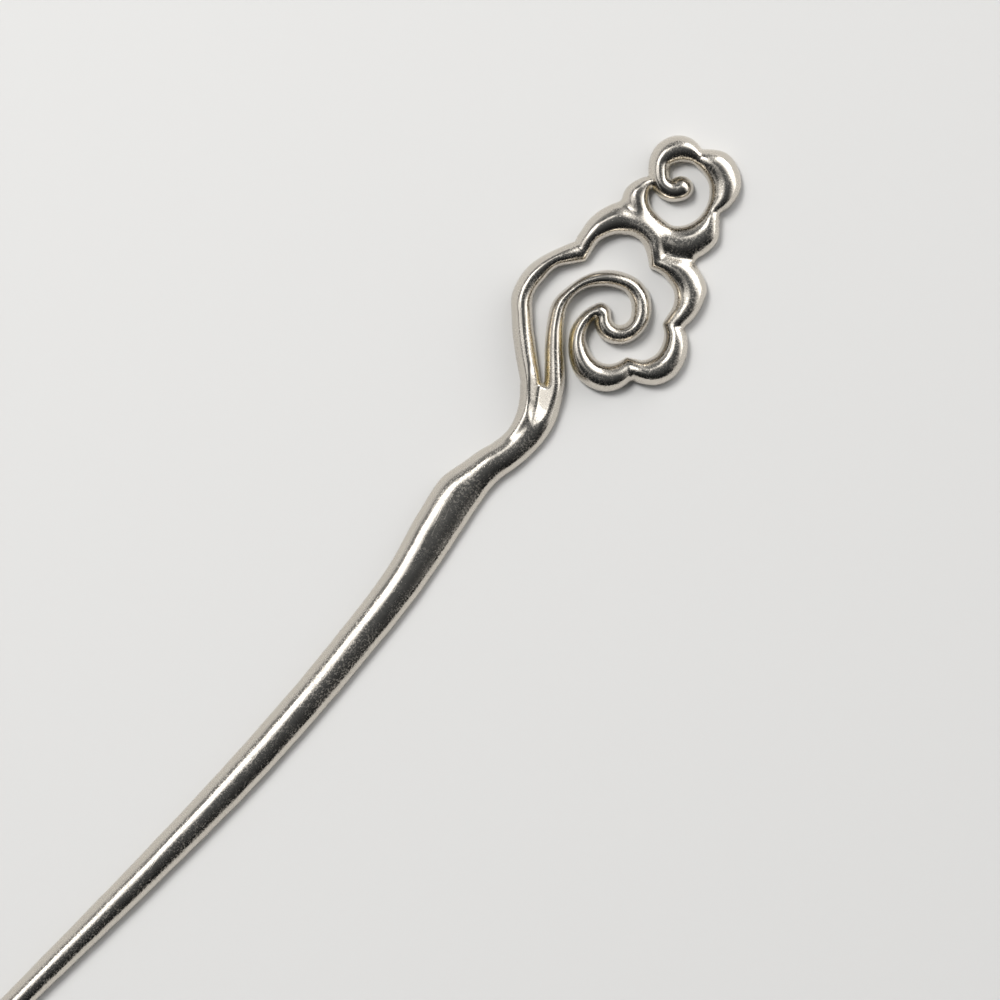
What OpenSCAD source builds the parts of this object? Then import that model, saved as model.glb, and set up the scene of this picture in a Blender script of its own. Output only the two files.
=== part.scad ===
// Hair stick cast in one piece: a long, gently bowed shaft with a flat back, a narrow neck, and an
// openwork cloud scroll for a head. It lies on its back, with X from the tip towards the head and Z
// out of its face.

/* [Shaft] */
// Length of the shaft from its tip to its widest place, the belly below the neck
shaft_length = 116.5; // [90:0.5:140]
// Width of the shaft in its middle stretch
shaft_width = 4.9; // [4:0.1:6]
// Width of the shaft just behind its rounded tip
tip_width = 2.2; // [1.6:0.1:3]
// Width of the belly, where the shaft swells before the neck
belly_width = 5.9; // [4.6:0.1:7]
// Thickness of the shaft at its crown
shaft_height = 2.6; // [2:0.1:3.6]
// Thickness of the shaft at its tip
tip_height = 1.7; // [1.2:0.1:2.2]
// How far the shaft bows to one side between its middle and its tip
bow = 6.8; // [2:0.1:10]

/* [Neck] */
// Length from the belly to where the neck splits into two strands
neck_length = 21.3; // [16:0.1:28]
// Width of the neck where it is narrowest
neck_width = 4.35; // [3.6:0.05:5]
// How far the neck sways to one side before it turns up into the head
neck_sway = 2.45; // [1.5:0.05:3.5]

/* [Cloud] */
// Reach of the cloud to the right of the split, seen with its stem upright
cloud_width = 25; // [20:0.5:30]
// Height of the cloud above the split, seen with its stem upright
cloud_height = 31.25; // [25:0.25:38]
// Width of the strand that the cloud is drawn with
strand_width = 2.75; // [2.2:0.05:3.2]
// Thickness of the strand at its crown
strand_height = 2.7; // [2:0.1:3.6]
// Angle between the shaft and the upright stem of the cloud
head_turn = 50; // [35:1:65]

/* [Edges] */
// Width of the rounded shoulder along each edge of the face
shoulder_width = 2.6; // [1:0.05:3]
// How much the crown domes up between the two shoulders
crown_dome = 0.3; // [0.1:0.05:0.6]
// Rounding of the edges of the flat back
back_ease = 0.3; // [0.1:0.05:0.5]

/* [Hidden] */

// Flat steps in each rounded shoulder of a section
shoulder_steps = 4;
// Longest step between two sections of the shaft
shaft_step = 2.5;
// Longest step between two sections of a strand, and the most degrees that it turns in one step
strand_step = 0.85;
strand_turn = 15;
// Sections that make up a round dome
dome_sections = 8;

// Until the whole piece is centred, the split lies at X = 0 and Y = 0 and the belly lies here
belly_x = -neck_length;
belly_y = -0.5 * neck_sway;
// Length that the sections of the shaft are spread over, up to the middle of the round tip
shaft_run = shaft_length - tip_width / 2;
// Thickness of a strand where it has risen out of the neck
root_height = 0.9 * strand_height;

// Columns of the rows below: place along, place to the side, width and thickness
X = 0;
Y = 1;
WIDE = 2;
THICK = 3;

// From the tip to the belly: share of the way, share of the bow, width and thickness
SHAFT = [
    [0.00, 0.770, tip_width, tip_height],
    [0.20, 0.465, mix(tip_width, shaft_width, 0.27), mix(tip_height, shaft_height, 0.55)],
    [0.37, 0.200, mix(tip_width, shaft_width, 0.50), mix(tip_height, shaft_height, 0.85)],
    [0.52, -0.030, mix(tip_width, shaft_width, 0.74), shaft_height],
    [0.67, -0.200, mix(tip_width, shaft_width, 0.93), shaft_height],
    [0.83, -0.235, shaft_width, shaft_height],
    [0.93, -0.170, mix(shaft_width, belly_width, 0.35), shaft_height],
];

// From the belly to the split: share of the way, share of the neck's sway, width and thickness
NECK = [
    [0.00, -0.50, belly_width, shaft_height],
    [0.21, -0.31, belly_width, shaft_height],
    [0.36, -0.46, mix(belly_width, neck_width, 0.68), shaft_height],
    [0.45, -0.60, mix(belly_width, neck_width, 0.90), shaft_height],
    [0.53, -0.82, neck_width, 0.98 * shaft_height],
    [0.64, -1.00, neck_width, 0.94 * shaft_height],
    [0.77, -0.95, mix(neck_width, 2 * strand_width, 0.30), 0.88 * shaft_height],
    [0.89, -0.60, mix(neck_width, 2 * strand_width, 0.55), 0.76 * shaft_height],
    [1.00, 0.00, mix(neck_width, 2 * strand_width, 0.70), 0.62 * shaft_height],
];

// The strands are drawn with their stem upright. Each row is a place on a strand's middle line: share
// of the cloud's width, share of its height, share of the strand's width, share of its thickness, and
// the direction across the strand in degrees. Each list ends at a cusp or at the strand's end, and the
// next list sets out from there.
TURN = 4;
OUTER_CLOUD = [
    // Up the left side of the stem and over to the first cusp
    [
        [-0.060, 0.000, 0.91, 1.00, 183],
        [-0.085, 0.140, 1.00, 1.00, 188],
        [-0.100, 0.264, 1.00, 1.00, 182],
        [-0.098, 0.356, 1.00, 1.00, 172],
        [-0.065, 0.412, 1.00, 1.00, 153],
        [-0.026, 0.449, 1.00, 0.98, 135],
        [0.058, 0.501, 0.82, 0.94, 119],
        [0.128, 0.520, 0.95, 0.92, 110],
        [0.195, 0.534, 1.06, 0.80, 115],
    ],
    // Top lobe
    [
        [0.235, 0.588, 1.00, 0.95, 150],
        [0.278, 0.625, 1.18, 1.00, 131],
        [0.343, 0.654, 1.40, 1.00, 119],
        [0.398, 0.664, 1.53, 1.00, 102],
        [0.465, 0.644, 1.17, 1.00, 81],
        [0.518, 0.621, 1.14, 1.00, 64],
        [0.555, 0.586, 1.17, 1.00, 47],
        [0.570, 0.538, 1.06, 0.96, 40],
        [0.578, 0.498, 1.09, 0.84, 45],
    ],
    // Right lobe
    [
        [0.628, 0.480, 1.06, 0.95, 50],
        [0.685, 0.456, 1.45, 1.00, 48],
        [0.728, 0.410, 1.53, 1.00, 30],
        [0.744, 0.362, 1.57, 1.00, 15],
        [0.731, 0.320, 1.44, 1.00, 7],
        [0.706, 0.285, 1.34, 0.96, -1],
        [0.656, 0.236, 1.08, 0.80, -10],
    ],
    // Lower right lobe
    [
        [0.668, 0.199, 1.10, 0.95, -8],
        [0.664, 0.150, 1.23, 1.00, -11],
        [0.640, 0.102, 1.34, 1.00, -25],
        [0.593, 0.064, 1.42, 1.00, -45],
        [0.536, 0.048, 1.35, 1.00, -61],
        [0.483, 0.053, 1.28, 0.96, -70],
        [0.433, 0.065, 1.14, 0.80, -78],
    ],
    // Bottom lobe, the hook that it ends in, and the inner scroll that winds from the hook to the stem
    [
        [0.386, 0.038, 1.31, 0.95, -91],
        [0.325, 0.028, 1.33, 1.00, -102],
        [0.263, 0.041, 1.29, 1.00, -114],
        [0.211, 0.077, 1.20, 1.00, -131],
        [0.180, 0.134, 1.04, 0.98, -147],
        [0.174, 0.180, 0.85, 0.96, -168],
        [0.189, 0.228, 0.75, 0.95, -201],
        [0.223, 0.268, 0.68, 0.95, -233],
        [0.254, 0.288, 0.70, 0.96, -264],
        [0.284, 0.294, 0.90, 0.98, -289],
        [0.299, 0.285, 0.97, 0.98, -309],
        [0.304, 0.256, 0.87, 0.98, -342],
        [0.323, 0.222, 0.93, 0.98, -317],
        [0.365, 0.202, 0.95, 1.00, -292],
        [0.420, 0.205, 0.94, 1.00, -264],
        [0.469, 0.233, 0.94, 1.00, -233],
        [0.497, 0.288, 0.96, 1.00, -196],
        [0.491, 0.344, 0.95, 1.00, -169],
        [0.453, 0.391, 0.89, 1.00, -140],
        [0.360, 0.423, 0.82, 0.98, -103],
        [0.280, 0.424, 0.74, 0.96, -83],
        [0.208, 0.407, 0.63, 0.95, -68],
        [0.140, 0.370, 0.62, 0.95, -42],
        [0.096, 0.330, 0.73, 0.96, -26],
        [0.066, 0.244, 0.80, 0.98, -7],
        [0.060, 0.160, 0.87, 1.00, 0],
        [0.062, 0.060, 0.95, 1.00, 0],
        [0.062, 0.000, 0.95, 1.00, -3],
    ],
];
SMALL_CLOUD = [
    // From the knob up the left side and over the top lobe
    [
        [0.695, 0.786, 1.18, 1.00, 290],
        [0.643, 0.778, 1.05, 1.00, 260],
        [0.600, 0.802, 1.00, 1.00, 225],
        [0.585, 0.852, 1.00, 1.00, 180],
        [0.590, 0.892, 1.03, 1.00, 157],
        [0.618, 0.921, 1.23, 1.00, 135],
        [0.663, 0.941, 1.30, 1.00, 112],
        [0.703, 0.944, 1.30, 1.00, 100],
        [0.740, 0.938, 1.18, 0.96, 86],
        [0.785, 0.908, 0.88, 0.82, 72],
    ],
    // Right lobe
    [
        [0.828, 0.896, 1.20, 0.95, 65],
        [0.873, 0.876, 1.52, 1.00, 51],
        [0.909, 0.830, 1.60, 1.00, 32],
        [0.918, 0.786, 1.53, 1.00, 12],
        [0.900, 0.738, 1.25, 0.96, -2],
        [0.854, 0.697, 0.76, 0.80, -20],
    ],
    // Bottom lobe, which runs in under the outer cloud and ends in a petal tucked under the knob's strand
    [
        [0.843, 0.662, 1.00, 0.92, -30],
        [0.823, 0.617, 1.45, 0.96, -44],
        [0.773, 0.583, 1.62, 0.96, -62],
        [0.720, 0.568, 1.70, 0.94, -72],
        [0.655, 0.568, 1.65, 0.90, -88],
        [0.588, 0.604, 1.35, 0.82, -111],
        [0.548, 0.634, 1.23, 0.84, -123],
        [0.490, 0.688, 1.23, 0.90, -155],
        [0.470, 0.736, 1.27, 0.95, -180],
        [0.475, 0.770, 1.18, 0.95, -190],
        [0.501, 0.794, 0.84, 0.90, -220],
        [0.531, 0.809, 0.64, 0.80, -242],
        [0.556, 0.811, 0.54, 0.70, -258],
    ],
];

// Places on the neck where the strands of the cloud take root: row of the neck's table, shares of the
// strand's width on the left and on the right, and share of the root's thickness
ROW = 0;
SIDES = [1, 2];
RISEN = 3;
ROOTS = [
    [4, 0.75, 1.20, 0.70],
    [5, 0.75, 1.20, 0.84],
    [6, 0.80, 1.13, 0.96],
    [7, 0.87, 1.04, 1.00],
];

function mix(a, b, share) = a + (b - a) * share;
function last(list) = list[len(list) - 1];
function along(angle) = [cos(angle), sin(angle)];
function turned(x, y, angle) = [x * cos(angle) - y * sin(angle), x * sin(angle) + y * cos(angle)];

// Stations of the shaft and neck: x, y, width and thickness
shaft_rows = [
    for (r = SHAFT) [belly_x - shaft_run * (1 - r[X]), belly_y + bow * r[Y], r[WIDE], r[THICK]],
];
neck_rows = [for (r = NECK) [belly_x + neck_length * r[X], neck_sway * r[Y], r[WIDE], r[THICK]]];
spine = concat(shaft_rows, neck_rows);

// Way from one station to the next, the change for each millimetre of it, the slope of a smooth line
// through all stations, and a point on that line
function place(row) = [row[X], row[Y]];
function gap(rows, i) = norm(place(rows[i + 1]) - place(rows[i]));
function rise(rows, i) = (rows[i + 1] - rows[i]) / gap(rows, i);
function slope(rows, i) =
    i == 0 ? 2 * rise(rows, 0) - slope(rows, 1)
    : i == len(rows) - 1 ? 2 * rise(rows, i - 1) - slope(rows, i - 1)
    : (rise(rows, i - 1) * gap(rows, i) + rise(rows, i) * gap(rows, i - 1))
        / (gap(rows, i - 1) + gap(rows, i));
function between(rows, i, t) =
    let (reach = gap(rows, i), s = 1 - t)
    rows[i] * s * s * (1 + 2 * t) + rows[i + 1] * t * t * (3 - 2 * t)
    + slope(rows, i) * reach * t * s * s - slope(rows, i + 1) * reach * t * t * s;
function smooth(rows, steps) = [
    for (i = [0 : len(rows) - 2])
        for (k = [0 : steps[i] - 1]) between(rows, i, k / steps[i]),
    last(rows),
];

// Sections of the shaft and neck, each square to the line that they follow
function heading(way) = atan2(way[Y], way[X]);
spine_steps = [for (i = [0 : len(spine) - 2]) ceil(gap(spine, i) / shaft_step)];
spine_line = smooth(spine, spine_steps);
spine_end = len(spine_line) - 1;
spine_sections = [
    for (i = [0 : spine_end])
        let (way = spine_line[min(i + 1, spine_end)] - spine_line[max(i - 1, 0)])
        concat(spine_line[i], heading(way) + 90),
];

// A row of a cloud as a station: x, y, width, thickness and direction across
function station(r) = concat(
    turned(r[X] * cloud_width, r[Y] * cloud_height, -head_turn),
    [r[WIDE] * strand_width, r[THICK] * strand_height, r[TURN] - head_turn]
);

// Where a strand rises out of the neck, on its left with side 0 and on its right with side 1
function root_station(root, side) =
    let (
        row = neck_rows[root[ROW]],
        width = root[SIDES[side]] * strand_width,
        across = heading(slope(neck_rows, root[ROW])) + 90 - 180 * side,
        aside = (row[WIDE] - width) / 2
    )
    concat(place(row) + aside * along(across), [width, root[RISEN] * root_height, across]);
left_roots = [for (root = ROOTS) root_station(root, 0)];
right_roots = [for (k = [1 : len(ROOTS)]) root_station(ROOTS[len(ROOTS) - k], 1)];

// The lists of one cloud as stations, each list starting at the cusp where the one before it ended
function stretches(lists) = [
    for (i = [0 : len(lists) - 1])
        [for (r = i == 0 ? lists[0] : concat([last(lists[i - 1])], lists[i])) station(r)],
];
function strand_steps(line) = [
    for (i = [0 : len(line) - 2])
        ceil(max(gap(line, i) / strand_step, abs(line[i + 1][TURN] - line[i][TURN]) / strand_turn)),
];
function strand_sections(lines) = [for (line = lines) smooth(line, strand_steps(line))];
outer_lines = stretches(OUTER_CLOUD);
outer_end = len(outer_lines) - 1;
rooted_lines = [
    for (i = [0 : outer_end])
        concat(i == 0 ? left_roots : [], outer_lines[i], i == outer_end ? right_roots : []),
];
outer_sections = strand_sections(rooted_lines);
small_sections = strand_sections(stretches(SMALL_CLOUD));

// Half the outline of a section, from its flat back over the shoulder to its crown
function half_outline(width, height) =
    let (
        half = width / 2,
        shoulder = min(shoulder_width, half),
        ease = min(back_ease, half / 2),
        wall = height - ease - crown_dome
    )
    [
        [half - ease, 0],
        for (k = [0 : shoulder_steps])
            let (a = 90 * k / shoulder_steps, s = half - shoulder + shoulder * cos(a))
            [s, ease + wall * sin(a) + crown_dome * (1 - pow(s / half, 2))],
        [0, height],
    ];
function ring(section) =
    [
        for (side = [-1, 1], p = half_outline(section[WIDE], section[THICK]))
            concat(place(section) + side * p[0] * along(section[TURN]), p[1]),
    ];

// Solid between rings of points, and a chain of such solids along a line of sections
module skin(points) hull() polyhedron(points, [[for (i = [0 : len(points) - 1]) i]]);
module sweep(sections) {
    for (i = [1 : len(sections) - 1])
        skin(concat(ring(sections[i - 1]), ring(sections[i])));
}
// Round dome as wide and as thick as a section
module dome(section) {
    skin([
        for (k = [0 : dome_sections - 1])
            each ring([section[X], section[Y], section[WIDE], section[THICK], 180 * k / dome_sections]),
    ]);
}

// The shaft with its round tip, its belly and its neck
module shaft() {
    sweep(spine_sections);
    dome(spine_sections[0]);
}
// The strand that runs from the neck round four lobes, hooks back and winds down to the neck again
module outer_cloud() {
    for (sections = outer_sections) sweep(sections);
}
// The strand that starts in a knob and ends in a petal
module small_cloud() {
    for (sections = small_sections) sweep(sections);
    dome(small_sections[0][0]);
}

// Middle of the whole piece, so that its origin is under the centre of its outline
outline = [
    for (s = concat(spine_sections, [for (list = concat(outer_sections, small_sections)) each list]))
        for (side = [-1, 1]) place(s) + side * s[WIDE] / 2 * along(s[TURN]),
    [belly_x - shaft_length, belly_y],
];
middle = [for (k = [X, Y]) (min([for (p = outline) p[k]]) + max([for (p = outline) p[k]])) / 2];

module hair_stick() {
    color("#b9b2a6")
    translate([-middle[X], -middle[Y], 0]) {
        shaft();
        outer_cloud();
        small_cloud();
    }
}

hair_stick();
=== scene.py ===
import math

import bpy
import numpy as np
from mathutils import Matrix, Vector


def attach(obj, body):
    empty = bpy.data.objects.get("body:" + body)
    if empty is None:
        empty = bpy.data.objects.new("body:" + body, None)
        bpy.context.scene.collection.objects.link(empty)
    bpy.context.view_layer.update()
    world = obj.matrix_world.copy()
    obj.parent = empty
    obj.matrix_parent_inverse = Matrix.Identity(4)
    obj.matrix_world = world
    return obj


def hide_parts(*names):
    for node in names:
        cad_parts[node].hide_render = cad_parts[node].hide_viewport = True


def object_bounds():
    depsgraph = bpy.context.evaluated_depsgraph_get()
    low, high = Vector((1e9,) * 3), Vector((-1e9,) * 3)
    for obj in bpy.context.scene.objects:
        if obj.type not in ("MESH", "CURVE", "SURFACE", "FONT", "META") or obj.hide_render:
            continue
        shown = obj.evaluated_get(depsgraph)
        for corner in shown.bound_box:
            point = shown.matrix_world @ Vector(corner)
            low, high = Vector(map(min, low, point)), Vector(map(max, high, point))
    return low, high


# Hair stick cast in one piece of white copper: a bowed shaft, a neck and a head of cloud scrolls drawn
# with one rounded strand. Sizes are in millimetres until the mesh is made, with X from the tip to the
# head and Z out of the face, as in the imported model.

MM = 0.001
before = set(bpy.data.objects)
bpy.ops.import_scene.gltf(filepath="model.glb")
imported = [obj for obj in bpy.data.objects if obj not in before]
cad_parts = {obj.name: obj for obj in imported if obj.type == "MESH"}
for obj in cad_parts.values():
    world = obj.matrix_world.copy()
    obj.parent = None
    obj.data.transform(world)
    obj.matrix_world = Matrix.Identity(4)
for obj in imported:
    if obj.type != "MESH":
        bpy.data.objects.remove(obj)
cad_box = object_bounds()

# Shaft
SHAFT_LENGTH = 116.5
SHAFT_WIDTH = 4.9
TIP_WIDTH = 2.2
BELLY_WIDTH = 5.9
SHAFT_HEIGHT = 2.6
TIP_HEIGHT = 1.7
BOW = 6.8
# Neck
NECK_LENGTH = 21.3
NECK_WIDTH = 4.35
NECK_SWAY = 2.45
# Cloud
CLOUD_WIDTH = 25.0
CLOUD_HEIGHT = 31.25
STRAND_WIDTH = 2.75
STRAND_HEIGHT = 2.7
HEAD_TURN = 50.0
# Edges
SHOULDER = 2.6
CROWN_DOME = 0.3
BACK_EASE = 0.3

# Until the whole piece is centred, the split of the neck lies at X = 0 and Y = 0, and the belly here
BELLY_X = -NECK_LENGTH
BELLY_Y = -0.5 * NECK_SWAY
# Length that the sections of the shaft are spread over, up to the middle of the round tip
SHAFT_RUN = SHAFT_LENGTH - TIP_WIDTH / 2
# Thickness of a strand where it has risen out of the neck
ROOT_HEIGHT = 0.9 * STRAND_HEIGHT


def mix(a, b, share):
    """Value that lies a share of the way from a to b."""
    return a + (b - a) * share


# From the tip to the belly: share of the way, share of the bow, width and thickness
SHAFT = [
    (0.00, 0.770, TIP_WIDTH, TIP_HEIGHT),
    (0.20, 0.465, mix(TIP_WIDTH, SHAFT_WIDTH, 0.27), mix(TIP_HEIGHT, SHAFT_HEIGHT, 0.55)),
    (0.37, 0.200, mix(TIP_WIDTH, SHAFT_WIDTH, 0.50), mix(TIP_HEIGHT, SHAFT_HEIGHT, 0.85)),
    (0.52, -0.030, mix(TIP_WIDTH, SHAFT_WIDTH, 0.74), SHAFT_HEIGHT),
    (0.67, -0.200, mix(TIP_WIDTH, SHAFT_WIDTH, 0.93), SHAFT_HEIGHT),
    (0.83, -0.235, SHAFT_WIDTH, SHAFT_HEIGHT),
    (0.93, -0.170, mix(SHAFT_WIDTH, BELLY_WIDTH, 0.35), SHAFT_HEIGHT),
]
# From the belly to the split: share of the way, share of the neck's sway, width and thickness
NECK = [
    (0.00, -0.50, BELLY_WIDTH, SHAFT_HEIGHT),
    (0.21, -0.31, BELLY_WIDTH, SHAFT_HEIGHT),
    (0.36, -0.46, mix(BELLY_WIDTH, NECK_WIDTH, 0.68), SHAFT_HEIGHT),
    (0.45, -0.60, mix(BELLY_WIDTH, NECK_WIDTH, 0.90), SHAFT_HEIGHT),
    (0.53, -0.82, NECK_WIDTH, 0.98 * SHAFT_HEIGHT),
    (0.64, -1.00, NECK_WIDTH, 0.94 * SHAFT_HEIGHT),
    (0.77, -0.95, mix(NECK_WIDTH, 2 * STRAND_WIDTH, 0.30), 0.92 * SHAFT_HEIGHT),
    (0.89, -0.60, mix(NECK_WIDTH, 2 * STRAND_WIDTH, 0.55), 0.88 * SHAFT_HEIGHT),
    (1.00, 0.00, mix(NECK_WIDTH, 2 * STRAND_WIDTH, 0.70), 0.84 * SHAFT_HEIGHT),
]
# Where the strands of the cloud take root: row of the neck's table, shares of the strand's width on the
# left and on the right, and share of the root's thickness
ROOTS = [
    (4, 0.75, 1.20, 0.70),
    (5, 0.75, 1.20, 0.84),
    (6, 0.80, 1.13, 0.96),
    (7, 0.87, 1.04, 1.00),
]
# Places on a strand's middle line, with its stem upright: share of the cloud's width, of its height, of
# the strand's width and of its thickness, and the direction across the strand in degrees. A list ends at
# a cusp or at the strand's end, and the next one sets out from there.
OUTER_CLOUD = [
    # Up the left side of the stem and over to the first cusp
    [
        (-0.060, 0.000, 0.91, 1.00, 183),
        (-0.085, 0.140, 1.00, 1.00, 188),
        (-0.100, 0.264, 1.00, 1.00, 182),
        (-0.098, 0.356, 1.00, 1.00, 172),
        (-0.065, 0.412, 1.00, 1.00, 153),
        (-0.026, 0.449, 1.00, 0.98, 135),
        (0.058, 0.501, 0.82, 0.94, 119),
        (0.128, 0.520, 0.95, 0.92, 110),
        (0.195, 0.534, 1.06, 0.80, 115),
    ],
    # Top lobe
    [
        (0.235, 0.588, 1.00, 0.95, 150),
        (0.278, 0.625, 1.18, 1.00, 131),
        (0.343, 0.654, 1.40, 1.00, 119),
        (0.398, 0.664, 1.53, 1.00, 102),
        (0.465, 0.644, 1.17, 1.00, 81),
        (0.518, 0.621, 1.14, 1.00, 64),
        (0.555, 0.586, 1.17, 1.00, 47),
        (0.570, 0.538, 1.06, 0.96, 40),
        (0.578, 0.498, 1.09, 0.84, 45),
    ],
    # Right lobe
    [
        (0.628, 0.480, 1.06, 0.95, 50),
        (0.685, 0.456, 1.45, 1.00, 48),
        (0.728, 0.410, 1.53, 1.00, 30),
        (0.744, 0.362, 1.57, 1.00, 15),
        (0.731, 0.320, 1.44, 1.00, 7),
        (0.706, 0.285, 1.34, 0.96, -1),
        (0.656, 0.236, 1.08, 0.80, -10),
    ],
    # Lower right lobe
    [
        (0.668, 0.199, 1.10, 0.95, -8),
        (0.664, 0.150, 1.23, 1.00, -11),
        (0.640, 0.102, 1.34, 1.00, -25),
        (0.593, 0.064, 1.42, 1.00, -45),
        (0.536, 0.048, 1.35, 1.00, -61),
        (0.483, 0.053, 1.28, 0.96, -70),
        (0.433, 0.065, 1.14, 0.80, -78),
    ],
    # Bottom lobe, the hook that it ends in, and the inner scroll that winds from the hook to the stem
    [
        (0.386, 0.038, 1.31, 0.95, -91),
        (0.325, 0.028, 1.33, 1.00, -102),
        (0.263, 0.041, 1.29, 1.00, -114),
        (0.211, 0.077, 1.20, 1.00, -131),
        (0.180, 0.134, 1.04, 0.98, -147),
        (0.174, 0.180, 0.85, 0.96, -168),
        (0.189, 0.228, 0.75, 0.95, -201),
        (0.223, 0.268, 0.68, 0.95, -233),
        (0.254, 0.288, 0.70, 0.96, -264),
        (0.284, 0.294, 0.90, 0.98, -289),
        (0.299, 0.285, 0.97, 0.98, -309),
        (0.304, 0.256, 0.87, 0.98, -342),
        (0.323, 0.222, 0.93, 0.98, -317),
        (0.365, 0.202, 0.95, 1.00, -292),
        (0.420, 0.205, 0.94, 1.00, -264),
        (0.469, 0.233, 0.94, 1.00, -233),
        (0.497, 0.288, 0.96, 1.00, -196),
        (0.491, 0.344, 0.95, 1.00, -169),
        (0.453, 0.391, 0.89, 1.00, -140),
        (0.360, 0.423, 0.82, 0.98, -103),
        (0.280, 0.424, 0.74, 0.96, -83),
        (0.208, 0.407, 0.63, 0.95, -68),
        (0.140, 0.370, 0.62, 0.95, -42),
        (0.096, 0.330, 0.73, 0.96, -26),
        (0.066, 0.244, 0.80, 0.98, -7),
        (0.060, 0.160, 0.87, 1.00, 0),
        (0.062, 0.060, 0.95, 1.00, 0),
        (0.062, 0.000, 0.95, 1.00, -3),
    ],
]
SMALL_CLOUD = [
    # From the knob up the left side and over the top lobe
    [
        (0.695, 0.786, 1.18, 1.00, 290),
        (0.643, 0.778, 1.05, 1.00, 260),
        (0.600, 0.802, 1.00, 1.00, 225),
        (0.585, 0.852, 1.00, 1.00, 180),
        (0.590, 0.892, 1.03, 1.00, 157),
        (0.618, 0.921, 1.23, 1.00, 135),
        (0.663, 0.941, 1.30, 1.00, 112),
        (0.703, 0.944, 1.30, 1.00, 100),
        (0.740, 0.938, 1.18, 0.96, 86),
        (0.785, 0.908, 0.88, 0.82, 72),
    ],
    # Right lobe
    [
        (0.828, 0.896, 1.20, 0.95, 65),
        (0.873, 0.876, 1.52, 1.00, 51),
        (0.909, 0.830, 1.60, 1.00, 32),
        (0.918, 0.786, 1.53, 1.00, 12),
        (0.900, 0.738, 1.25, 0.96, -2),
        (0.854, 0.697, 0.76, 0.80, -20),
    ],
    # Bottom lobe, which runs in under the outer cloud and ends in a petal tucked under the knob's strand
    [
        (0.843, 0.662, 1.00, 0.92, -30),
        (0.823, 0.617, 1.45, 0.96, -44),
        (0.773, 0.583, 1.62, 0.96, -62),
        (0.720, 0.568, 1.70, 0.94, -72),
        (0.655, 0.568, 1.65, 0.90, -88),
        (0.588, 0.604, 1.35, 0.82, -111),
        (0.548, 0.634, 1.23, 0.84, -123),
        (0.490, 0.688, 1.23, 0.90, -155),
        (0.470, 0.736, 1.27, 0.95, -180),
        (0.475, 0.770, 1.18, 0.95, -190),
        (0.501, 0.794, 0.84, 0.90, -220),
        (0.531, 0.809, 0.64, 0.80, -242),
        (0.556, 0.811, 0.54, 0.70, -258),
    ],
]

# Columns of a station of a smooth line: its place, the width and thickness there, and the direction
# across it
X = 0
Y = 1
WIDE = 2
THICK = 3
TURN = 4
# A point in space or a direction has its height in place of the width
Z = 2


class Line:
    """Smooth line through stations: cubic curves between them, with slopes from the neighbouring stretches.
    """

    def __init__(self, stations):
        self.rows = np.array(stations, float)
        steps = np.diff(self.rows, axis=0)
        self.gaps = np.hypot(steps[:, X], steps[:, Y])
        rises = steps / self.gaps[:, None]
        before = self.gaps[:-1, None]
        after = self.gaps[1:, None]
        inner = (rises[:-1] * after + rises[1:] * before) / (before + after)
        self.slopes = np.vstack([2 * rises[0] - inner[0], inner, 2 * rises[-1] - inner[-1]])

    def at(self, i, t):
        """Stations at shares t of stretch i, and how fast they change there."""
        t = np.asarray(t, float)[..., None]
        s = 1 - t
        a = self.rows[i]
        b = self.rows[i + 1]
        ka = self.slopes[i] * self.gaps[i]
        kb = self.slopes[i + 1] * self.gaps[i]
        value = a * s * s * (1 + 2 * t) + b * t * t * (3 - 2 * t) + ka * t * s * s - kb * t * t * s
        speed = 6 * (b - a) * t * s + ka * s * (s - 2 * t) - kb * t * (2 * s - t)
        return value, speed


def direction(degrees):
    """Unit vector in the plane of the face, at an angle from X."""
    angle = np.radians(degrees)
    return np.stack([np.cos(angle), np.sin(angle)], axis=-1)


def with_turns(stations):
    """Stations of the shaft and neck, each square to the line."""
    line = Line([(*row, 0) for row in stations])
    turns = [math.degrees(math.atan2(slope[Y], slope[X])) + 90 for slope in line.slopes]
    return [(*row, turn) for row, turn in zip(stations, turns)]


def station(row):
    """Row of a cloud as a station, turned as the head is."""
    across = direction(-HEAD_TURN)
    rising = direction(90 - HEAD_TURN)
    place = row[X] * CLOUD_WIDTH * across + row[Y] * CLOUD_HEIGHT * rising
    return (*place, row[WIDE] * STRAND_WIDTH, row[THICK] * STRAND_HEIGHT, row[TURN] - HEAD_TURN)


shaft_rows = [(BELLY_X - SHAFT_RUN * (1 - x), BELLY_Y + BOW * y, w, h) for x, y, w, h in SHAFT]
neck_rows = [(BELLY_X + NECK_LENGTH * x, NECK_SWAY * y, w, h) for x, y, w, h in NECK]
neck_turns = [row[TURN] for row in with_turns(neck_rows)]


def roots(side):
    """Stations where a strand rises out of the neck, on its left with side 0 and on its right with side 1."""
    made = []
    for i, *widths, share in ROOTS:
        width = widths[side] * STRAND_WIDTH
        turn = neck_turns[i] + 180 * side
        place = np.array(neck_rows[i][:2]) + (neck_rows[i][WIDE] - width) / 2 * direction(turn)
        made.append((*place, width, share * ROOT_HEIGHT, turn))
    return made


def stretches(lists):
    """The lists of one cloud as stations, each setting out from the cusp where the last one ended."""
    made = []
    for rows in lists:
        made.append(([made[-1][-1]] if made else []) + [station(row) for row in rows])
    return made


outer = stretches(OUTER_CLOUD)
outer[0] = roots(0) + outer[0]
whole_turns = 360 * round((neck_turns[-1] + 180 - outer[-1][-1][TURN]) / 360)
outer[-1] += [(*row[:TURN], row[TURN] - whole_turns) for row in reversed(roots(1))]
small = stretches(SMALL_CLOUD)
spine_line = Line(with_turns(shaft_rows + neck_rows))
outer_lines = [Line(rows) for rows in outer]
small_lines = [Line(rows) for rows in small]

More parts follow.
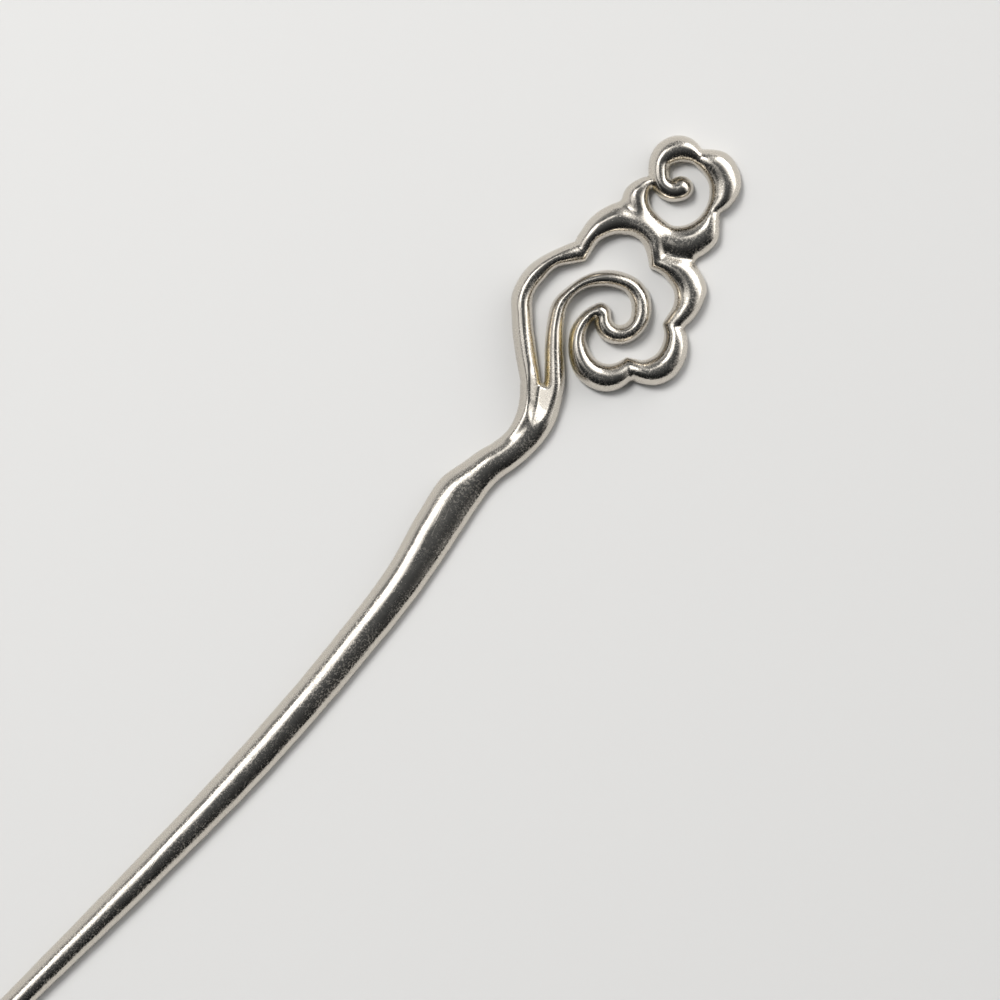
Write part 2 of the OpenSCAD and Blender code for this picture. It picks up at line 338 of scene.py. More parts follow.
# The metal is worked out as a field on a grid of points: how far each point is from its surface, below
# zero inside. The grid is fine in the head and longer in the plain shaft, where nothing changes fast.
CELL = 0.18
LONG_CELL = 0.6
FINE_FROM = BELLY_X - 4.0
# Room round the piece in the grid, how far outside a strand its field is worked out, and the value beyond
ROOM = 1.6
RIM = 1.1
FAR = 1.2
# Grid lines below the back and above the crown, in cells
BELOW = 2.5
ABOVE = 3


def grid_lines(low, high, step):
    """Places of the grid along one axis, a step apart, from low until they reach high."""
    return low + step * np.arange(math.ceil((high - low) / step) + 1)


corners = np.vstack([
    line.rows[:, :2] + side * line.rows[:, WIDE, None] / 2 * direction(line.rows[:, TURN])
    for line in [spine_line, *outer_lines, *small_lines] for side in (-1, 1)
])
low_corner = corners.min(axis=0) - ROOM
high_corner = corners.max(axis=0) + ROOM
xs = np.concatenate([
    grid_lines(low_corner[X] - TIP_WIDTH / 2, FINE_FROM, LONG_CELL)[:-1],
    grid_lines(FINE_FROM, high_corner[X], CELL),
])
ys = grid_lines(low_corner[Y], high_corner[Y], CELL)
zs = grid_lines(-BELOW * CELL, STRAND_HEIGHT + ABOVE * CELL, CELL)

TINY = 1e-6


def section_gap(s, z, width, height):
    """Distance from a section's rounded face: a shoulder along each edge and a domed crown."""
    half = width / 2
    shoulder = np.minimum(SHOULDER, half)
    dome = CROWN_DOME * (1 - np.minimum(np.abs(s) / half, 1) ** 2)
    wall = height - BACK_EASE - CROWN_DOME
    # Place in the shoulder's quarter of an ellipse, across and up
    q = np.maximum(np.abs(s) - half + shoulder, 0) / shoulder
    p = np.maximum(z - BACK_EASE - dome, 0) / wall
    reach = np.maximum(np.hypot(q, p), TINY)
    steep = np.hypot(q / shoulder, p / wall) / reach
    return np.where(steep > TINY, (reach - 1) / np.maximum(steep, TINY), -FAR)


def lay(field, columns, s, width, height):
    """Adds metal at grid columns that lie s to the side of a strand's middle line."""
    i, j = columns
    gap = section_gap(s[:, None], zs[None, :], width[:, None], height[:, None])
    field[i, j] = np.minimum(field[i, j], gap)


def near(points, reach):
    """Grid columns in the box round some points."""
    low = points.min(axis=0) - reach
    high = points.max(axis=0) + reach
    i = np.arange(*np.searchsorted(xs, (low[X], high[X])))
    j = np.arange(*np.searchsorted(ys, (low[Y], high[Y])))
    columns = np.meshgrid(i, j, indexing="ij")
    return columns[0].ravel(), columns[1].ravel()


# Longest step along a strand, and most degrees that it turns, in which a point's section is looked for
STEP = 0.4
STEP_TURN = 4
# Rounds of looking, and the most that one round moves along the stretch
ROUNDS = 2
MOST_SHIFT = 0.1


def lay_stretch(field, line, i):
    """Adds one stretch between two stations: each grid point finds the section that it lies on."""
    turn = abs(line.rows[i + 1, TURN] - line.rows[i, TURN])
    pieces = math.ceil(max(line.gaps[i] / STEP, turn / STEP_TURN))
    cuts = np.linspace(0, 1, pieces + 1)
    at_cuts, _ = line.at(i, cuts)
    across = direction(at_cuts[:, TURN])
    half = at_cuts[:, WIDE, None] / 2 + RIM
    rims = np.stack([at_cuts[:, :2] - half * across, at_cuts[:, :2] + half * across])
    for k in range(pieces):
        columns = near(rims[:, k:k + 2].reshape(-1, 2), TINY)
        points = np.stack([xs[columns[0]], ys[columns[1]]], axis=-1)
        # How far each point lies past this step's first section and past its second
        first, second = [
            (points[:, X] - at_cuts[c, X]) * across[c, Y] - (points[:, Y] - at_cuts[c, Y]) * across[c, X]
            for c in (k, k + 1)
        ]
        between = np.signbit(first) != np.signbit(second)
        if not between.any():
            continue
        points = points[between]
        share = first[between] / (first[between] - second[between])
        t = mix(cuts[k], cuts[k + 1], share)
        # Each round turns and moves the section nearer to the point
        for _ in range(ROUNDS):
            here, speed = line.at(i, t)
            way = direction(here[:, TURN])
            off = points - here[:, :2]
            miss = off[:, X] * way[:, Y] - off[:, Y] * way[:, X]
            swing = np.radians(speed[:, TURN]) * (off[:, X] * way[:, X] + off[:, Y] * way[:, Y])
            change = swing - speed[:, X] * way[:, Y] + speed[:, Y] * way[:, X]
            shift = miss / np.where(np.abs(change) > TINY, change, np.inf)
            t = np.clip(t - np.clip(shift, -MOST_SHIFT, MOST_SHIFT), cuts[k], cuts[k + 1])
        here, _ = line.at(i, t)
        s = ((points - here[:, :2]) * direction(here[:, TURN])).sum(axis=1)
        kept = np.abs(s) < here[:, WIDE] / 2 + RIM
        chosen = (columns[0][between][kept], columns[1][between][kept])
        lay(field, chosen, s[kept], here[kept, WIDE], here[kept, THICK])


def lay_end(field, row):
    """Adds the round dome that a strand starts with."""
    reach = row[WIDE] / 2 + RIM
    columns = near(row[None, :2], reach)
    s = np.hypot(xs[columns[0]] - row[X], ys[columns[1]] - row[Y])
    kept = s < reach
    chosen = (columns[0][kept], columns[1][kept])
    lay(field, chosen, s[kept], np.full(kept.sum(), row[WIDE]), np.full(kept.sum(), row[THICK]))


def laid(lines, domed=False):
    """Field of the metal laid along some lines, with a round dome at the start of the first."""
    field = np.full((len(xs), len(ys), len(zs)), FAR, np.float32)
    for line in lines:
        for i in range(len(line.gaps)):
            lay_stretch(field, line, i)
    if domed:
        lay_end(field, lines[0].rows[0])
    return field


def filleted(a, b, fillet):
    """Metal of two fields together, with the crease between them filled up over the width fillet."""
    depth = np.maximum(1 - np.abs(a - b) / fillet, 0)
    return np.minimum(a, b) - fillet * depth ** 2 / 4


# Widths of the fillets: in the groove between the two stems, which runs out past the split, where the
# stems rise out of the neck, and where the small cloud grows out of the outer one
GROOVE_FILLET = 1.5
GROOVE_ENDS = (-1.0, 2.6)
NECK_FILLET = 0.9
CLOUD_FILLET = 1.1
SHARP = 0.05
groove = np.interp(xs, GROOVE_ENDS, (GROOVE_FILLET, SHARP))[:, None, None]
stems = filleted(laid(outer_lines[:1]), laid(outer_lines[1:]), groove)


def eased(start, end):
    """Share of the way from start to end at each of the grid's places along X, level at both ends."""
    t = np.clip((xs - start) / (end - start), 0, 1)
    return t * t * (3 - 2 * t)


# The neck stops at the split, where its top drops into the opening, and on its way between the stems it
# draws in by as much as the fillet would swell it. The fillet grows along the neck, to keep its outline.
DROP_START = -0.7
DROP_END = 0.5
DRAWN_IN = (-6.0, -2.0)
FILLET_GROWS = (-6.5, -2.5)
neck = laid([spine_line], domed=True) + NECK_FILLET / 4 * eased(*DRAWN_IN)[:, None, None]
neck_top = SHAFT_HEIGHT + ROOM - (SHAFT_HEIGHT + 2 * ROOM) * eased(DROP_START, DROP_END)
neck_slope = np.hypot(1, np.gradient(neck_top, xs))
above_neck = (zs[None, None, :] - neck_top[:, None, None]) / neck_slope[:, None, None]
neck_fillet = mix(SHARP, NECK_FILLET, eased(*FILLET_GROWS))[:, None, None]
stem_and_neck = filleted(stems, np.maximum(neck, above_neck), neck_fillet)

# Trough filed into the neck and on between the stems: between which places it goes down and comes up
# again, the heights of its bottom, how far its bottom shifts to the left on the way, how much its sides
# rise for each millimetre, the round at its bottom, and the height, width and slant of the file's strokes
TROUGH_DOWN = (-7.6, -2.4)
TROUGH_UP = (0.6, 7.0)
TROUGH_RIM = 3.0
TROUGH_FLOOR = 1.75
TROUGH_SHIFT = 0.50
LEFT_RISE = 0.62
RIGHT_RISE = 0.42
TROUGH_ROUND = 0.08
STROKE = 0.016
STROKE_WIDTH = 0.45
STROKE_SLANT = 0.12
down = eased(*TROUGH_DOWN)
bottom = mix(TROUGH_RIM, TROUGH_FLOOR, down * (1 - eased(*TROUGH_UP)))
stem_middle = np.maximum(xs, 0) * math.tan(math.radians(90 - HEAD_TURN))
trough_line = np.interp(xs, *np.array(neck_rows)[:, :2].T) + stem_middle + TROUGH_SHIFT * down
aside = ys[None, :] - trough_line[:, None]
side_rise = (LEFT_RISE + RIGHT_RISE) / 2 * (np.hypot(aside, TROUGH_ROUND) - TROUGH_ROUND)
strokes = STROKE * np.sin(2 * math.pi / STROKE_WIDTH * (aside + STROKE_SLANT * xs[:, None]))
trough_top = bottom[:, None] + side_rise + (LEFT_RISE - RIGHT_RISE) / 2 * aside + strokes
trough_slope = np.sqrt(1 + sum(slope ** 2 for slope in np.gradient(trough_top, xs, ys)))
above_trough = (zs[None, None, :] - trough_top[..., None]) / trough_slope[..., None]
stem_and_neck = np.maximum(stem_and_neck, above_trough)
metal = filleted(stem_and_neck, laid(small_lines, domed=True), CLOUD_FILLET)

# What polishing takes off, and how far the waves that filing by hand leaves, WAVE_SHORT to WAVE_LONG from
# crest to crest, stand in from there
TAKEN_OFF = 0.02
UNEVEN = 0.02
WAVE_SHORT = 2.6
WAVE_LONG = 7.0
WAVES = 9
WAVE_SEED = 7
chance = np.random.default_rng(WAVE_SEED)
waves = np.zeros_like(metal)
for _ in range(WAVES):
    way = chance.normal(size=3)
    way *= 2 * math.pi / chance.uniform(WAVE_SHORT, WAVE_LONG) / np.linalg.norm(way)
    phase = chance.uniform(0, 2 * math.pi)
    travel = way[X] * xs[:, None, None] + way[Y] * ys[None, :, None] + way[Z] * zs[None, None, :]
    waves += np.sin(travel + phase)
metal += TAKEN_OFF + UNEVEN * (1 + waves / math.sqrt(WAVES))

# Polishing takes the sharpness off each crease: every value takes this share from each of its neighbours
SOFTEN = 0.25
for axis in range(3):
    padded = np.pad(metal, [(int(n == axis),) * 2 for n in range(3)], mode="edge")
    behind = np.take(padded, range(metal.shape[axis]), axis)
    ahead = np.take(padded, range(2, 2 + metal.shape[axis]), axis)
    metal = (1 - 2 * SOFTEN) * metal + SOFTEN * (ahead + behind)
# The flat back, with its edge eased
under = np.broadcast_to(-zs[None, None, :], metal.shape)
rounded = np.hypot(np.maximum(metal + BACK_EASE, 0), np.maximum(under + BACK_EASE, 0))
metal = np.minimum(np.maximum(metal, under) + BACK_EASE, 0) + rounded - BACK_EASE


def cell_corner(values, i, j, k):
    """Values at one corner of every grid cell."""
    return values[i:i + len(xs) - 1, j:j + len(ys) - 1, k:k + len(zs) - 1]


def surface(field):
    """Net of four-sided faces where the field is zero, with one point in each grid cell that it crosses."""
    inside = field < 0
    cell_corners = [(i, j, k) for i in (0, 1) for j in (0, 1) for k in (0, 1)]
    count = sum(cell_corner(inside, *c).astype(np.int8) for c in cell_corners)
    crossed = (count > 0) & (count < len(cell_corners))
    index = np.full(crossed.shape, -1)
    index[crossed] = np.arange(crossed.sum())
    cells = np.argwhere(crossed)
    total = np.zeros((len(cells), 3))
    number = np.zeros(len(cells))
    # A cell's point is the mean of the places where the field is zero on the cell's edges
    for a in cell_corners:
        for axis in range(3):
            if a[axis]:
                continue
            b = tuple(v + (n == axis) for n, v in enumerate(a))
            fa = cell_corner(field, *a)[crossed]
            fb = cell_corner(field, *b)[crossed]
            cut = (fa < 0) != (fb < 0)
            share = np.where(cut, fa / np.where(cut, fa - fb, 1), 0)
            point = np.stack([line[cells[:, n] + a[n]] for n, line in enumerate((xs, ys, zs))], axis=-1)
            cell_sizes = np.diff((xs, ys, zs)[axis])
            point[:, axis] += share * cell_sizes[cells[:, axis]]
            total += point * cut[:, None]
            number += cut
    faces = []
    # Each edge of the grid that the surface cuts gives a face between the four cells round it
    for axis in range(3):
        u, v = [n for n in range(3) if n != axis]
        low = np.take(inside, range(field.shape[axis] - 1), axis)
        high = np.take(inside, range(1, field.shape[axis]), axis)
        for turned, edges in ((axis == 1, low & ~high), (axis != 1, ~low & high)):
            at = np.argwhere(edges)
            ring = []
            for du, dv in ((-1, -1), (0, -1), (0, 0), (-1, 0)):
                cell = at.copy()
                cell[:, u] += du
                cell[:, v] += dv
                ring.append(index[tuple(cell.T)])
            ring = np.stack(ring, axis=-1)
            faces.append(ring[:, ::-1] if turned else ring)
    return total / number[:, None], np.vstack(faces)


def sample(fields, points):
    """Values of fields at points between the grid's own."""
    spots = []
    shares = []
    for n, line in enumerate((xs, ys, zs)):
        spot = np.clip(np.searchsorted(line, points[:, n]) - 1, 0, len(line) - 2)
        spots.append(spot)
        shares.append((points[:, n] - line[spot]) / (line[spot + 1] - line[spot]))
    value = 0
    for bits in np.ndindex(2, 2, 2):
        weight = np.prod([share if bit else 1 - share for bit, share in zip(bits, shares)], axis=0)
        value = value + weight[:, None] * fields[tuple(spot + bit for bit, spot in zip(bits, spots))]
    return value


# Each point is then moved onto the zero of the field, in a few rounds, and at most so far in each
SETTLING_ROUNDS = 3
MOST_MOVE = 0.1
LEAST_STEEP = 0.1
points, faces = surface(metal)
slopes = np.stack(np.gradient(metal, xs, ys, zs), axis=-1)
fields = np.concatenate([metal[..., None], slopes], axis=-1)
for _ in range(SETTLING_ROUNDS):
    found = sample(fields, points)
    steep = (found[:, 1:] ** 2).sum(axis=1)
    shift = np.clip(found[:, :1] / np.maximum(steep, LEAST_STEEP)[:, None], -MOST_MOVE, MOST_MOVE)
    points -= shift * found[:, 1:]
normals = sample(fields, points)[:, 1:]
normals /= np.linalg.norm(normals, axis=1)[:, None]

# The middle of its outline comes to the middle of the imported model's
outline_middle = (points.min(axis=0) + points.max(axis=0)) / 2
cad_middle = (np.array(cad_box[0]) + np.array(cad_box[1])) / 2
points *= MM
points[:, :2] += cad_middle[:2] - outline_middle[:2] * MM

mesh = bpy.data.meshes.new("polished_hair_stick")
mesh.vertices.add(len(points))
mesh.vertices.foreach_set("co", points.astype(np.float32).ravel())
mesh.loops.add(faces.size)
mesh.loops.foreach_set("vertex_index", faces.astype(np.int32).ravel())
mesh.polygons.add(len(faces))
mesh.polygons.foreach_set("loop_start", np.arange(0, faces.size, faces.shape[1], dtype=np.int32))
mesh.update(calc_edges=True)
mesh.validate()
mesh.shade_smooth()
mesh.normals_split_custom_set_from_vertices(normals.astype(np.float32))
stick = bpy.data.objects.new("polished_hair_stick", mesh)
bpy.context.scene.collection.objects.link(stick)


def linear(hex_colour):
    """Colour in the renderer's linear values, from its sRGB hex."""
    parts = [int(hex_colour[n:n + 2], 16) / 255 for n in (1, 3, 5)]
    return tuple(c / 12.92 if c <= 0.04045 else ((c + 0.055) / 1.055) ** 2.4 for c in parts) + (1.0,)


def node(tree, kind, inputs=(), output=0, **settings):
    """Adds a node with its settings and links. Its sockets take constants or other nodes' outputs."""
    made = tree.nodes.new(kind)
    for key, value in settings.items():
        setattr(made, key, value)
    for socket, value in inputs.items() if isinstance(inputs, dict) else enumerate(inputs):
        if isinstance(value, bpy.types.NodeSocket):
            tree.links.new(value, made.inputs[socket])
        else:
            made.inputs[socket].default_value = value
    return made.outputs[output]


# Sockets of a colour's mix, which has others of the same names
FACTOR = 0
FIRST_COLOUR = 6
SECOND_COLOUR = 7
MIXED_COLOUR = 2
MICRON = 1e-6

# Marks on the copper. Sizes are in millimetres and heights in microns. A pair of numbers gives the values
# of a noise, or of what else is named, between which the mark begins and is whole.
# The back, by how far its faces look down, and recesses, by the share of open sky within reach of them
BACK_LOOKS = (-0.7, -0.95)
RECESS_REACH = 2.5
RECESS_RAYS = 8
RECESS_SKY = (0.85, 0.30)
# Sandy skin of the casting: its grains are about 0.1 mm wide, and drawn wider to show. The buff has left
# it in patches, and between them thinner, by the share LEAST_GRAIN.
GRAIN_SIZE = 0.22
GRAIN_TOPS = (0.50, 0.64)
GRAIN_HEIGHT = 14.0
SANDY_PATCH = 4.0
SANDY_CLEARING = (0.35, 0.60)
LEAST_GRAIN = 0.35
# Casting pits, about 0.2 mm wide: their spacing, and their edge in shares of it
PIT_SPACING = 0.6
PIT_EDGE = (0.16, 0.06)
PIT_HEIGHT = -8.0
# Hairline scratches: directions in degrees. They are really some 0.02 mm wide, and drawn about 0.1 mm
# wide to show, as the highest lines of a noise SCRATCH_NOISE wide.
SCRATCH_TURNS = (14, -38, 71)
SCRATCH_LENGTH = 2.5
SCRATCH_NOISE = 0.22
SCRATCH_LINE = (0.71, 0.77)
SCRATCH_HEIGHT = -4.0
# Marks of the file across the flat back
FILE_TURN = 24
FILE_LENGTH = 9.0
FILE_SPACING = 0.3
FILE_HEIGHT = 60.0
# Roughness of the buffed face, from its clearest places to the most handled, and what the marks add to it
HANDLED_PATCH = 3.5
HANDLED = (0.35, 0.65)
BUFFED_ROUGHNESS = (0.09, 0.17)
SANDY_ROUGHNESS = 0.30
PIT_ROUGHNESS = 0.15
RECESS_ROUGHNESS = 0.10
BACK_ROUGHNESS = 0.10
# Colours of the clean metal and of the painted bounce light in recesses. The recesses are painted warmer and
# lighter in place of the light that bounces between their walls, in patches.
CLEAN_COPPER = "#d6cfc4"
PAINTED_BOUNCE_COLOUR = "#f4e9c6"
PAINTED_BOUNCE_PATCH = 1.5
PAINTED_BOUNCE_NOISE = (0.35, 0.65)
LEAST_PAINTED_BOUNCE = 0.35


def polished_white_copper():
    """White copper, an alloy of copper with nickel and zinc, cast, filed, and buffed by hand on its face.

    It gives the eye nearly neutral reflections with a faint warmth, as bright as a dull mirror. The buffed
    face is glossy under a fine grain, with pits and hairline scratches that catch light in the dark
    places. Recesses, where the buff hasn't reached, are duller, and their colour is painted warmer and
    lighter: painted bounce light in place of the light that bounces between their walls. The back is filed
    flat.
    """
    copper = bpy.data.materials.new("polished_white_copper")
    copper.use_nodes = True
    tree = copper.node_tree
    shader = tree.nodes["Principled BSDF"]
    place = node(tree, "ShaderNodeTexCoord", output="Object")
    normal = node(tree, "ShaderNodeNewGeometry", output="Normal")
    rise = node(tree, "ShaderNodeSeparateXYZ", (normal,), output="Z")

    # The flat back, and the recesses
    back = node(tree, "ShaderNodeMapRange", (rise, *BACK_LOOKS), interpolation_type="SMOOTHSTEP")
    open_sky = node(tree, "ShaderNodeAmbientOcclusion", {"Distance": RECESS_REACH * MM},
                    output="AO", only_local=True, samples=RECESS_RAYS)
    recess = node(tree, "ShaderNodeMapRange", (open_sky, *RECESS_SKY), interpolation_type="SMOOTHSTEP")

    # Sandy skin of the casting
    grain = node(tree, "ShaderNodeTexNoise", {"Vector": place, "Scale": 1 / (GRAIN_SIZE * MM), "Detail": 2.0})
    patch = node(tree, "ShaderNodeTexNoise", {
        "Vector": place, "Scale": 1 / (SANDY_PATCH * MM), "Detail": 1.0})
    left_on = node(tree, "ShaderNodeMapRange", (patch, *SANDY_CLEARING, LEAST_GRAIN, 1.0))
    high_grain = node(tree, "ShaderNodeMapRange", (grain, *GRAIN_TOPS), interpolation_type="SMOOTHSTEP")
    sandy = node(tree, "ShaderNodeMath", (high_grain, left_on), operation="MULTIPLY")
    # Casting pits
    cell = node(tree, "ShaderNodeTexVoronoi", {"Vector": place, "Scale": 1 / (PIT_SPACING * MM)})
    pits = node(tree, "ShaderNodeMapRange", (cell, *PIT_EDGE), interpolation_type="SMOOTHSTEP")
    # Hairline scratches
    scratches = 0.0
    for angle in SCRATCH_TURNS:
        laid_along = node(tree, "ShaderNodeMapping", {
            "Vector": place, "Rotation": (0, 0, math.radians(angle)),
            "Scale": (SCRATCH_LENGTH * MM, SCRATCH_NOISE * MM, SCRATCH_NOISE * MM)}, vector_type="TEXTURE")
        streak = node(tree, "ShaderNodeTexNoise", {"Vector": laid_along, "Scale": 1.0, "Detail": 0.0})
        line = node(tree, "ShaderNodeMapRange", (streak, *SCRATCH_LINE), interpolation_type="SMOOTHSTEP")
        scratches = node(tree, "ShaderNodeMath", (scratches, line), operation="MAXIMUM")
    # Marks of the file
    across = node(tree, "ShaderNodeMapping", {
        "Vector": place, "Rotation": (0, 0, math.radians(FILE_TURN)),
        "Scale": (FILE_LENGTH * MM, FILE_SPACING * MM, FILE_LENGTH * MM)}, vector_type="TEXTURE")
    file_marks = node(tree, "ShaderNodeTexNoise", {"Vector": across, "Scale": 1.0, "Detail": 1.0})

    # Heights of all these, added up
    coarse = node(tree, "ShaderNodeMath", (left_on, GRAIN_HEIGHT), operation="MULTIPLY")
    relief = node(tree, "ShaderNodeMath", (grain, coarse), operation="MULTIPLY")
    relief = node(tree, "ShaderNodeMath", (pits, PIT_HEIGHT, relief), operation="MULTIPLY_ADD")
    relief = node(tree, "ShaderNodeMath", (scratches, SCRATCH_HEIGHT, relief), operation="MULTIPLY_ADD")
    filed = node(tree, "ShaderNodeMath", (file_marks, back), operation="MULTIPLY")
    relief = node(tree, "ShaderNodeMath", (filed, FILE_HEIGHT, relief), operation="MULTIPLY_ADD")
    bump = node(tree, "ShaderNodeBump", {"Strength": 1.0, "Distance": MICRON, "Height": relief})

    # Roughness, with the duller places added
    handled = node(tree, "ShaderNodeTexNoise", {
        "Vector": place, "Scale": 1 / (HANDLED_PATCH * MM), "Detail": 2.0})
    dull = node(tree, "ShaderNodeMapRange", (handled, *HANDLED, *BUFFED_ROUGHNESS),
                interpolation_type="SMOOTHSTEP")
    dull = node(tree, "ShaderNodeMath", (sandy, SANDY_ROUGHNESS, dull), operation="MULTIPLY_ADD")
    dull = node(tree, "ShaderNodeMath", (pits, PIT_ROUGHNESS, dull), operation="MULTIPLY_ADD")
    dull = node(tree, "ShaderNodeMath", (recess, RECESS_ROUGHNESS, dull), operation="MULTIPLY_ADD")
    dull = node(tree, "ShaderNodeMath", (back, BACK_ROUGHNESS, dull), operation="MULTIPLY_ADD",
                use_clamp=True)

    # Colour, with painted bounce light in the recesses: they are painted warmer and lighter, in patches
    bounce_patches = node(tree, "ShaderNodeTexNoise", {
        "Vector": place, "Scale": 1 / (PAINTED_BOUNCE_PATCH * MM), "Detail": 3.0})
    patchy_bounce = node(tree, "ShaderNodeMapRange", (bounce_patches, *PAINTED_BOUNCE_NOISE, LEAST_PAINTED_BOUNCE, 1.0))
    # Painted bounce light: the share of the warmer, lighter colour that is painted into the recesses
    painted_bounce = node(tree, "ShaderNodeMath", (recess, patchy_bounce), operation="MULTIPLY")
    colour = node(tree, "ShaderNodeMix", {
        FACTOR: painted_bounce, FIRST_COLOUR: linear(CLEAN_COPPER), SECOND_COLOUR: linear(PAINTED_BOUNCE_COLOUR)},
        output=MIXED_COLOUR, data_type="RGBA")

    tree.links.new(colour, shader.inputs["Base Color"])
    tree.links.new(dull, shader.inputs["Roughness"])
    tree.links.new(bump, shader.inputs["Normal"])
    shader.inputs["Metallic"].default_value = 1.0
    return copper


mesh.materials.append(polished_white_copper())
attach(stick, "root")
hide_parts("hair_stick")

# Camera above the piece, turned so that the shaft runs from lower left to upper right: the width that it
# takes in at the place that it aims at, its lens and sensor, and the degrees that it leans to the left
FRAME_WIDTH = 125.0
LENS = 300.0
SENSOR = 36.0
TILT = 1.5
AIM = Vector((35.9, -4.6, 1.0)) * MM
turned = math.radians(HEAD_TURN)
picture_right = Vector((math.cos(turned), -math.sin(turned), 0))
picture_up = Vector((math.sin(turned), math.cos(turned), 0))
tilt = math.radians(TILT)
camera_back = Vector((0, 0, 1)) * math.cos(tilt) - picture_right * math.sin(tilt)
camera_side = picture_up.cross(camera_back)
camera = bpy.data.cameras.new("camera")
camera.lens = LENS
camera.sensor_width = SENSOR
eye = bpy.data.objects.new("camera", camera)
turned_camera = Matrix((camera_side, picture_up, camera_back)).transposed().to_4x4()
eye.matrix_world = Matrix.Translation(AIM + camera_back * FRAME_WIDTH * MM * LENS / SENSOR) @ turned_camera
bpy.context.scene.collection.objects.link(eye)
bpy.context.scene.camera = eye

# Floor of pale matt board, a hair below the back so that the two faces don't fight. Half its width is in
# metres.
FLOOR_HALF = 3.0
FLOOR_DROP = 0.02 * MM
BOARD_COLOUR = "#c9c8c6"
BOARD_ROUGHNESS = 0.9
floor_mesh = bpy.data.meshes.new("floor")
floor_corners = [(x * FLOOR_HALF, y * FLOOR_HALF, 0) for x, y in ((-1, -1), (1, -1), (1, 1), (-1, 1))]
floor_mesh.from_pydata(floor_corners, [], [(0, 1, 2, 3)])
floor = bpy.data.objects.new("floor", floor_mesh)
floor.location.z = -FLOOR_DROP
bpy.context.scene.collection.objects.link(floor)
board = bpy.data.materials.new("pale_board")
board.use_nodes = True
board_shader = board.node_tree.nodes["Principled BSDF"]
board_shader.inputs["Base Color"].default_value = linear(BOARD_COLOUR)
board_shader.inputs["Roughness"].default_value = BOARD_ROUGHNESS
floor_mesh.materials.append(board)


def toward(azimuth, height):
    """Direction seen from the piece, in degrees: azimuth 0 is the picture's right, and 90 is up it."""
    a = math.radians(azimuth)
    e = math.radians(height)
    level = picture_right * math.cos(a) + picture_up * math.sin(a)
    return level * math.cos(e) + Vector((0, 0, math.sin(e)))


# Soft key light from the picture's upper left, which lights the floor and gives the piece its shadow. The
# metal mirrors the soft boxes of the world instead, so glossy surfaces don't show this light. Its distance
# and size are in metres, and its power in watts.
KEY_AZIMUTH = 125
KEY_HEIGHT = 54
KEY_DISTANCE = 0.9
KEY_SIZE = 0.26
KEY_POWER = 6.5
key = bpy.data.lights.new("key_light", "AREA")
key.size = KEY_SIZE
key.energy = KEY_POWER
lamp = bpy.data.objects.new("key_light", key)
lamp.location = toward(KEY_AZIMUTH, KEY_HEIGHT) * KEY_DISTANCE + AIM
lamp.rotation_euler = toward(KEY_AZIMUTH, KEY_HEIGHT).to_track_quat("Z", "Y").to_euler()
lamp.visible_glossy = False
bpy.context.scene.collection.objects.link(lamp)


# How far ahead a direction counts at least, so that nothing shows behind a soft box's back
LEAST_AHEAD = 0.05


def softbox(tree, sight, azimuth, height, lean, spread, rise, edge, fade, radiance):
    """Flat panel of soft light, in degrees: blurred over edge below and at its sides, faded out above."""
    facing = toward(azimuth, height)
    level = Vector((0, 0, 1)).cross(facing).normalized()
    rising = facing.cross(level)
    turn = math.radians(lean)
    along = level * math.cos(turn) + rising * math.sin(turn)
    upright = rising * math.cos(turn) - level * math.sin(turn)
    parts = [
        node(tree, "ShaderNodeVectorMath", (sight, way), output="Value", operation="DOT_PRODUCT")
        for way in (facing, along, upright)
    ]
    ahead = node(tree, "ShaderNodeMath", (parts[0], LEAST_AHEAD), operation="MAXIMUM")
    beside = node(tree, "ShaderNodeMath", (parts[1], ahead), operation="DIVIDE")
    aside = node(tree, "ShaderNodeMath", (beside,), operation="ABSOLUTE")
    above = node(tree, "ShaderNodeMath", (parts[2], ahead), operation="DIVIDE")
    half_width, half_rise, soft = (math.tan(math.radians(d)) for d in (spread, rise, edge))
    within = node(tree, "ShaderNodeMapRange", (aside, half_width + soft, half_width - soft),
                  interpolation_type="SMOOTHSTEP")
    over = node(tree, "ShaderNodeMapRange", (above, -half_rise - soft, -half_rise + soft),
                interpolation_type="SMOOTHSTEP")
    past = node(tree, "ShaderNodeMath", (above, half_rise), operation="SUBTRACT")
    beyond = node(tree, "ShaderNodeMath", (past, 0.0), operation="MAXIMUM")
    left = node(tree, "ShaderNodeMath", (math.exp(-1 / math.radians(fade)), beyond), operation="POWER")
    shown = node(tree, "ShaderNodeMath", (within, over), operation="MULTIPLY")
    faded = node(tree, "ShaderNodeMath", (shown, left), operation="MULTIPLY")
    return node(tree, "ShaderNodeMath", (faded, radiance), operation="MULTIPLY")


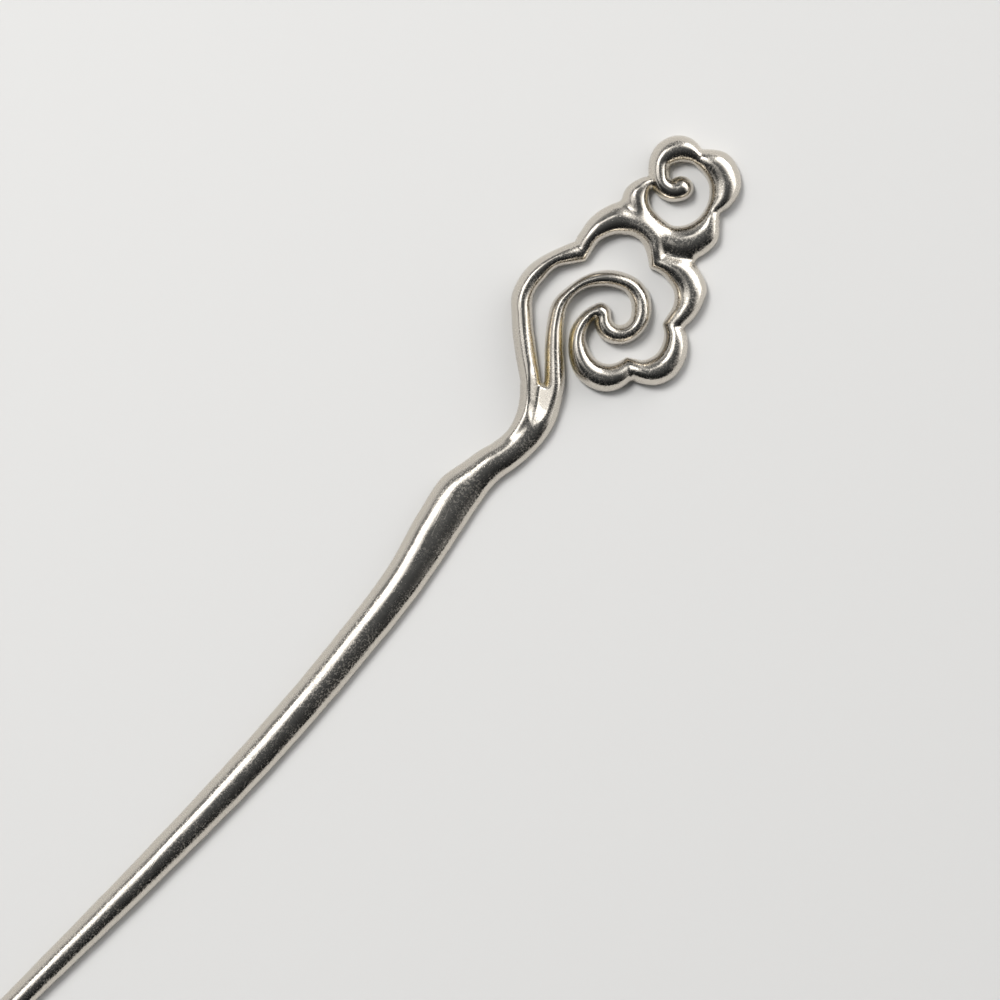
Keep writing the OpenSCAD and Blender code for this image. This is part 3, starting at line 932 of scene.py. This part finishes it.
# Soft boxes of the studio. The first three stand at the picture's upper left: a bright one for the shaft,
# a dimmer one beside it for the head, and a narrow card above them. Two bright ones follow at the upper
# right and low at the right, a weak high one behind them, and two weak wide ones low at the left.
SOFTBOXES = [
    dict(azimuth=144, height=47, lean=-24, spread=12, rise=11, edge=2, fade=15, radiance=2.3),
    dict(azimuth=174, height=38, lean=-24, spread=14, rise=12, edge=4, fade=10, radiance=1.1),
    dict(azimuth=122, height=50, lean=-24, spread=13, rise=5, edge=6, fade=6, radiance=1.4),
    dict(azimuth=47, height=22, lean=0, spread=24, rise=17, edge=4, fade=14, radiance=2.4),
    dict(azimuth=13, height=4, lean=42, spread=30, rise=15, edge=4, fade=14, radiance=2.2),
    dict(azimuth=66, height=25, lean=0, spread=24, rise=26, edge=10, fade=10, radiance=0.45),
    dict(azimuth=150, height=16, lean=0, spread=55, rise=16, edge=4, fade=4, radiance=0.16),
    dict(azimuth=165, height=5, lean=0, spread=58, rise=7, edge=3, fade=3, radiance=0.45),
]


# The room: where its lighter end is, how closely the light gathers there, how much it adds, and how bright
# the dark end is
ROOM_LIGHT_END = (100, 60)
ROOM_GATHERED = 3.5
ROOM_LIGHT = 0.15
ROOM_DARK = 0.010


def dim_studio():
    """World of a dim, faintly blue room that is lighter above the picture, with white soft boxes in it."""
    studio = bpy.data.worlds.new("dim_studio")
    studio.use_nodes = True
    tree = studio.node_tree
    sight = node(tree, "ShaderNodeTexCoord", output="Generated")
    towards = node(tree, "ShaderNodeVectorMath", (sight, toward(*ROOM_LIGHT_END)),
                   output="Value", operation="DOT_PRODUCT")
    # From 0 at the dark end to 1 at the light end
    upward = node(tree, "ShaderNodeMath", (towards, 0.5, 0.5), operation="MULTIPLY_ADD")
    lighter = node(tree, "ShaderNodeMath", (upward, ROOM_GATHERED), operation="POWER")
    room = node(tree, "ShaderNodeMath", (lighter, ROOM_LIGHT, ROOM_DARK), operation="MULTIPLY_ADD")
    boxes = 0.0
    for box in SOFTBOXES:
        boxes = node(tree, "ShaderNodeMath", (boxes, softbox(tree, sight, **box)), operation="ADD")
    room_light = node(tree, "ShaderNodeBackground", {"Color": linear("#eef4fb"), "Strength": room})
    box_light = node(tree, "ShaderNodeBackground", {"Color": linear("#ffffff"), "Strength": boxes})
    both = node(tree, "ShaderNodeAddShader", (room_light, box_light))
    tree.links.new(both, tree.nodes["World Output"].inputs["Surface"])
    return studio


bpy.context.scene.world = dim_studio()
bpy.context.scene.view_settings.view_transform = "Standard"
